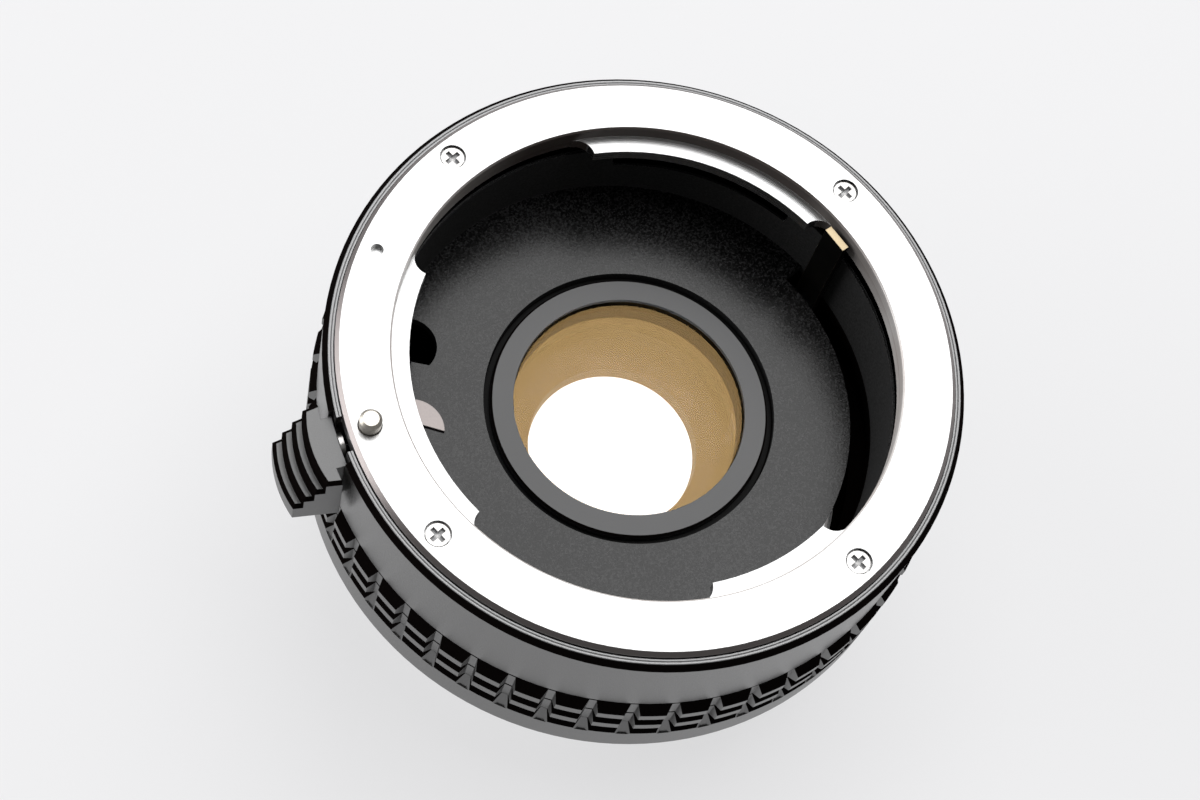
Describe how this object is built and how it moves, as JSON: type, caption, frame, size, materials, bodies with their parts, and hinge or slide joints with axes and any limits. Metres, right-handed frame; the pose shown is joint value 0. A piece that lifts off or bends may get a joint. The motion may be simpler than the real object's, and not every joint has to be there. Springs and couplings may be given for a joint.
{
  "type": "camera teleconverter",
  "caption": "Black camera teleconverter with chrome bayonet mounts at both ends, a spring lock pin with stepped release slider, and turning aperture couplings.",
  "frame": {"origin": "on the optical axis, at the rear mounting face", "axes": "+Z along the optical axis toward the attached lens; -X toward the lock pin and its release slider; +Y completes a right-handed frame"},
  "size_m": [0.0669, 0.0624, 0.0361],
  "materials": {
    "black_metal": "satin black",
    "grip_black": "satin black",
    "chrome_plate": "fine-turned chrome plate",
    "steel_bright": "bright",
    "lever_steel": "dull",
    "pin_steel": "polished",
    "spring_steel": "blackened",
    "coil_steel": "plain",
    "baffle_black": "grainy matt black",
    "cell_black": "anodised black",
    "bezel_grey": "satin grey",
    "ring_metal": "plain",
    "tab_gold": "pale gold",
    "slider_black": "fine-grained black",
    "coated_glass": "amber-coated",
    "clear_glass": "clear"
  },
  "bodies": {
    "body": {"main_barrel": "black_metal", "grip_ring": "grip_black", "rear_housing": "black_metal", "housing_screws": "steel_bright", "front_mount": "chrome_plate", "front_mount_screws": "steel_bright", "mount_spring": "spring_steel", "front_baffle": "baffle_black", "baffle_screws": "steel_bright", "lock_spring": "coil_steel", "lens_cell": "cell_black", "cell_lock_ring": "cell_black", "bezel_ring": "bezel_grey", "front_lens": "coated_glass", "front_spacer": "cell_black", "doublet_crown": "clear_glass", "doublet_flint": "clear_glass", "rear_spacer": "cell_black", "rear_lens": "clear_glass", "stop_down_spring": "coil_steel", "coupling_spring": "coil_steel", "spring_posts": "steel_bright", "ring_retainer": "ring_metal", "rear_mount": "chrome_plate", "rear_mount_screws": "steel_bright", "rear_baffle": "baffle_black"},
    "release": {"release_slider": "slider_black", "slider_screw": "spring_steel", "pin_carrier": "steel_bright", "lock_pin": "pin_steel"},
    "stop_down": {"stop_down_ring": "ring_metal", "stop_down_lever": "lever_steel", "stop_down_rear_lever": "lever_steel"},
    "coupling": {"coupling_ring": "ring_metal", "coupling_tab": "tab_gold", "coupling_finger": "tab_gold"}
  },
  "joints": [
    {"name": "release_slide", "type": "slide", "parent": "body", "child": "release", "axis": [0, 0, -1], "range_m": [0, 0.0018], "stiffness_N_per_m": 800, "springref_m": -0.002, "deforming": ["lock_spring"]},
    {"name": "stop_down_turn", "type": "hinge", "parent": "body", "child": "stop_down", "pos_m": [0, 0, 0.0126], "axis": [0, 0, 1], "range_deg": [-20, 0], "stiffness_Nm_per_rad": 0.01, "springref_deg": 11.46},
    {"name": "coupling_turn", "type": "hinge", "parent": "body", "child": "coupling", "pos_m": [0, 0, 0.011], "axis": [0, 0, 1], "range_deg": [-65, 0], "stiffness_Nm_per_rad": 0.003, "springref_deg": 22.92}
  ]
}
